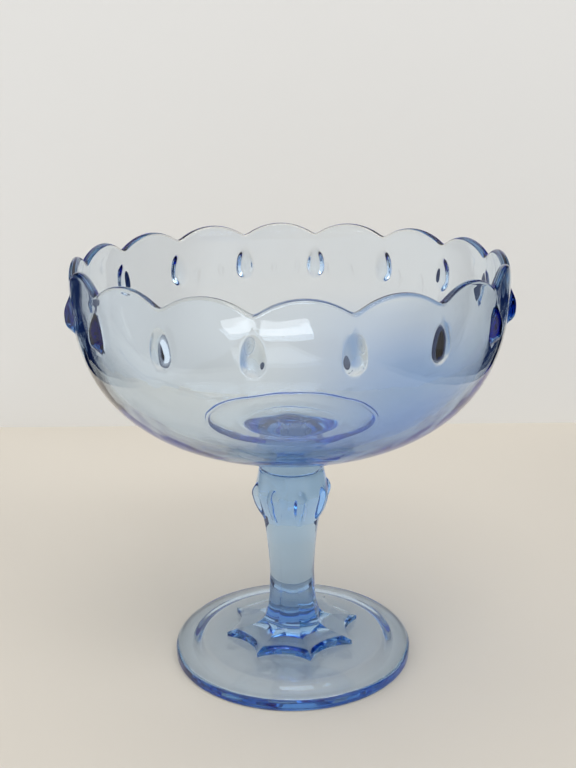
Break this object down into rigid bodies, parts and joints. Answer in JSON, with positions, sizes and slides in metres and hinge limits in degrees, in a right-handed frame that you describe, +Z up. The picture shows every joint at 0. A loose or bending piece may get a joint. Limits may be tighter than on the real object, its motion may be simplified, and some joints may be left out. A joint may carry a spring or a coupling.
{
  "type": "footed compote bowl",
  "caption": "Footed compote in pale blue pressed glass: deep round bowl with a scalloped rim and raised drops, on a panelled stem with a star-shaped base and a round foot.",
  "frame": {"origin": "centre of the foot's resting face, on the axis of the stem", "axes": "+Z up along the stem's axis; -Y faces the notch of the rim and the stem panel that are turned about 8 degrees left of the camera in the picture"},
  "size_m": [0.2106, 0.2106, 0.207],
  "materials": {
    "ice_blue_glass": "fire-polished clear pressed glass, pale ice blue"
  },
  "bodies": {
    "root": {"bowl": "ice_blue_glass", "joining_wafer": "ice_blue_glass", "stem": "ice_blue_glass", "foot": "ice_blue_glass"}
  },
  "joints": []
}
